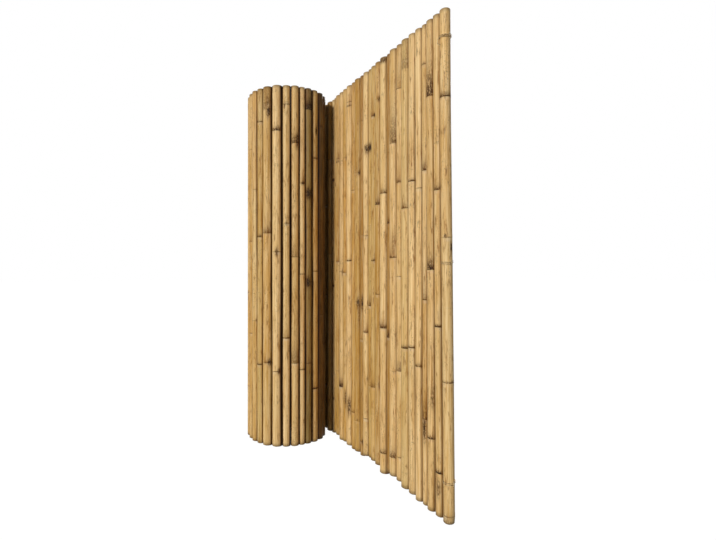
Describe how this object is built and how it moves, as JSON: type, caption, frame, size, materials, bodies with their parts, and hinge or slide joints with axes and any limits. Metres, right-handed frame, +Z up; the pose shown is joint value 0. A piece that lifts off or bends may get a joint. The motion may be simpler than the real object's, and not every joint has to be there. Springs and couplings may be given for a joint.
{
  "type": "bamboo fence panel",
  "caption": "Screen of upright bamboo canes threaded on wires, stood on end with one stretch open and the rest rolled up.",
  "frame": {"origin": "middle of the footprint of the standing screen, on the ground", "axes": "+Z up along the canes, +X along the open stretch towards its free end, the face of the open stretch looks to -Y"},
  "size_m": [0.7516, 0.2538, 1.0002],
  "materials": {
    "cane": "dry bamboo skin, half gloss",
    "wire": "dull galvanised"
  },
  "bodies": {
    "root": {"cane_01": "cane", "cane_02": "cane", "cane_03": "cane", "cane_04": "cane", "cane_05": "cane", "cane_06": "cane", "cane_07": "cane", "cane_08": "cane", "cane_09": "cane", "cane_10": "cane", "cane_11": "cane", "cane_12": "cane", "cane_13": "cane", "cane_14": "cane", "cane_15": "cane", "cane_16": "cane", "cane_17": "cane", "cane_18": "cane", "cane_19": "cane", "cane_20": "cane", "cane_21": "cane", "cane_22": "cane", "cane_23": "cane", "cane_24": "cane", "cane_25": "cane", "cane_26": "cane", "cane_27": "cane", "cane_28": "cane", "cane_29": "cane", "cane_30": "cane", "cane_31": "cane", "cane_32": "cane", "cane_33": "cane", "cane_34": "cane", "cane_35": "cane", "cane_36": "cane", "cane_37": "cane", "cane_38": "cane", "cane_39": "cane", "cane_40": "cane", "cane_41": "cane", "cane_42": "cane", "cane_43": "cane", "cane_44": "cane", "cane_45": "cane", "cane_46": "cane", "cane_47": "cane", "cane_48": "cane", "cane_49": "cane", "cane_50": "cane", "cane_51": "cane", "cane_52": "cane", "cane_53": "cane", "cane_54": "cane", "cane_55": "cane", "cane_56": "cane", "inner_canes": "cane", "bottom_wire": "wire", "middle_wire": "wire", "top_wire": "wire"}
  },
  "joints": []
}
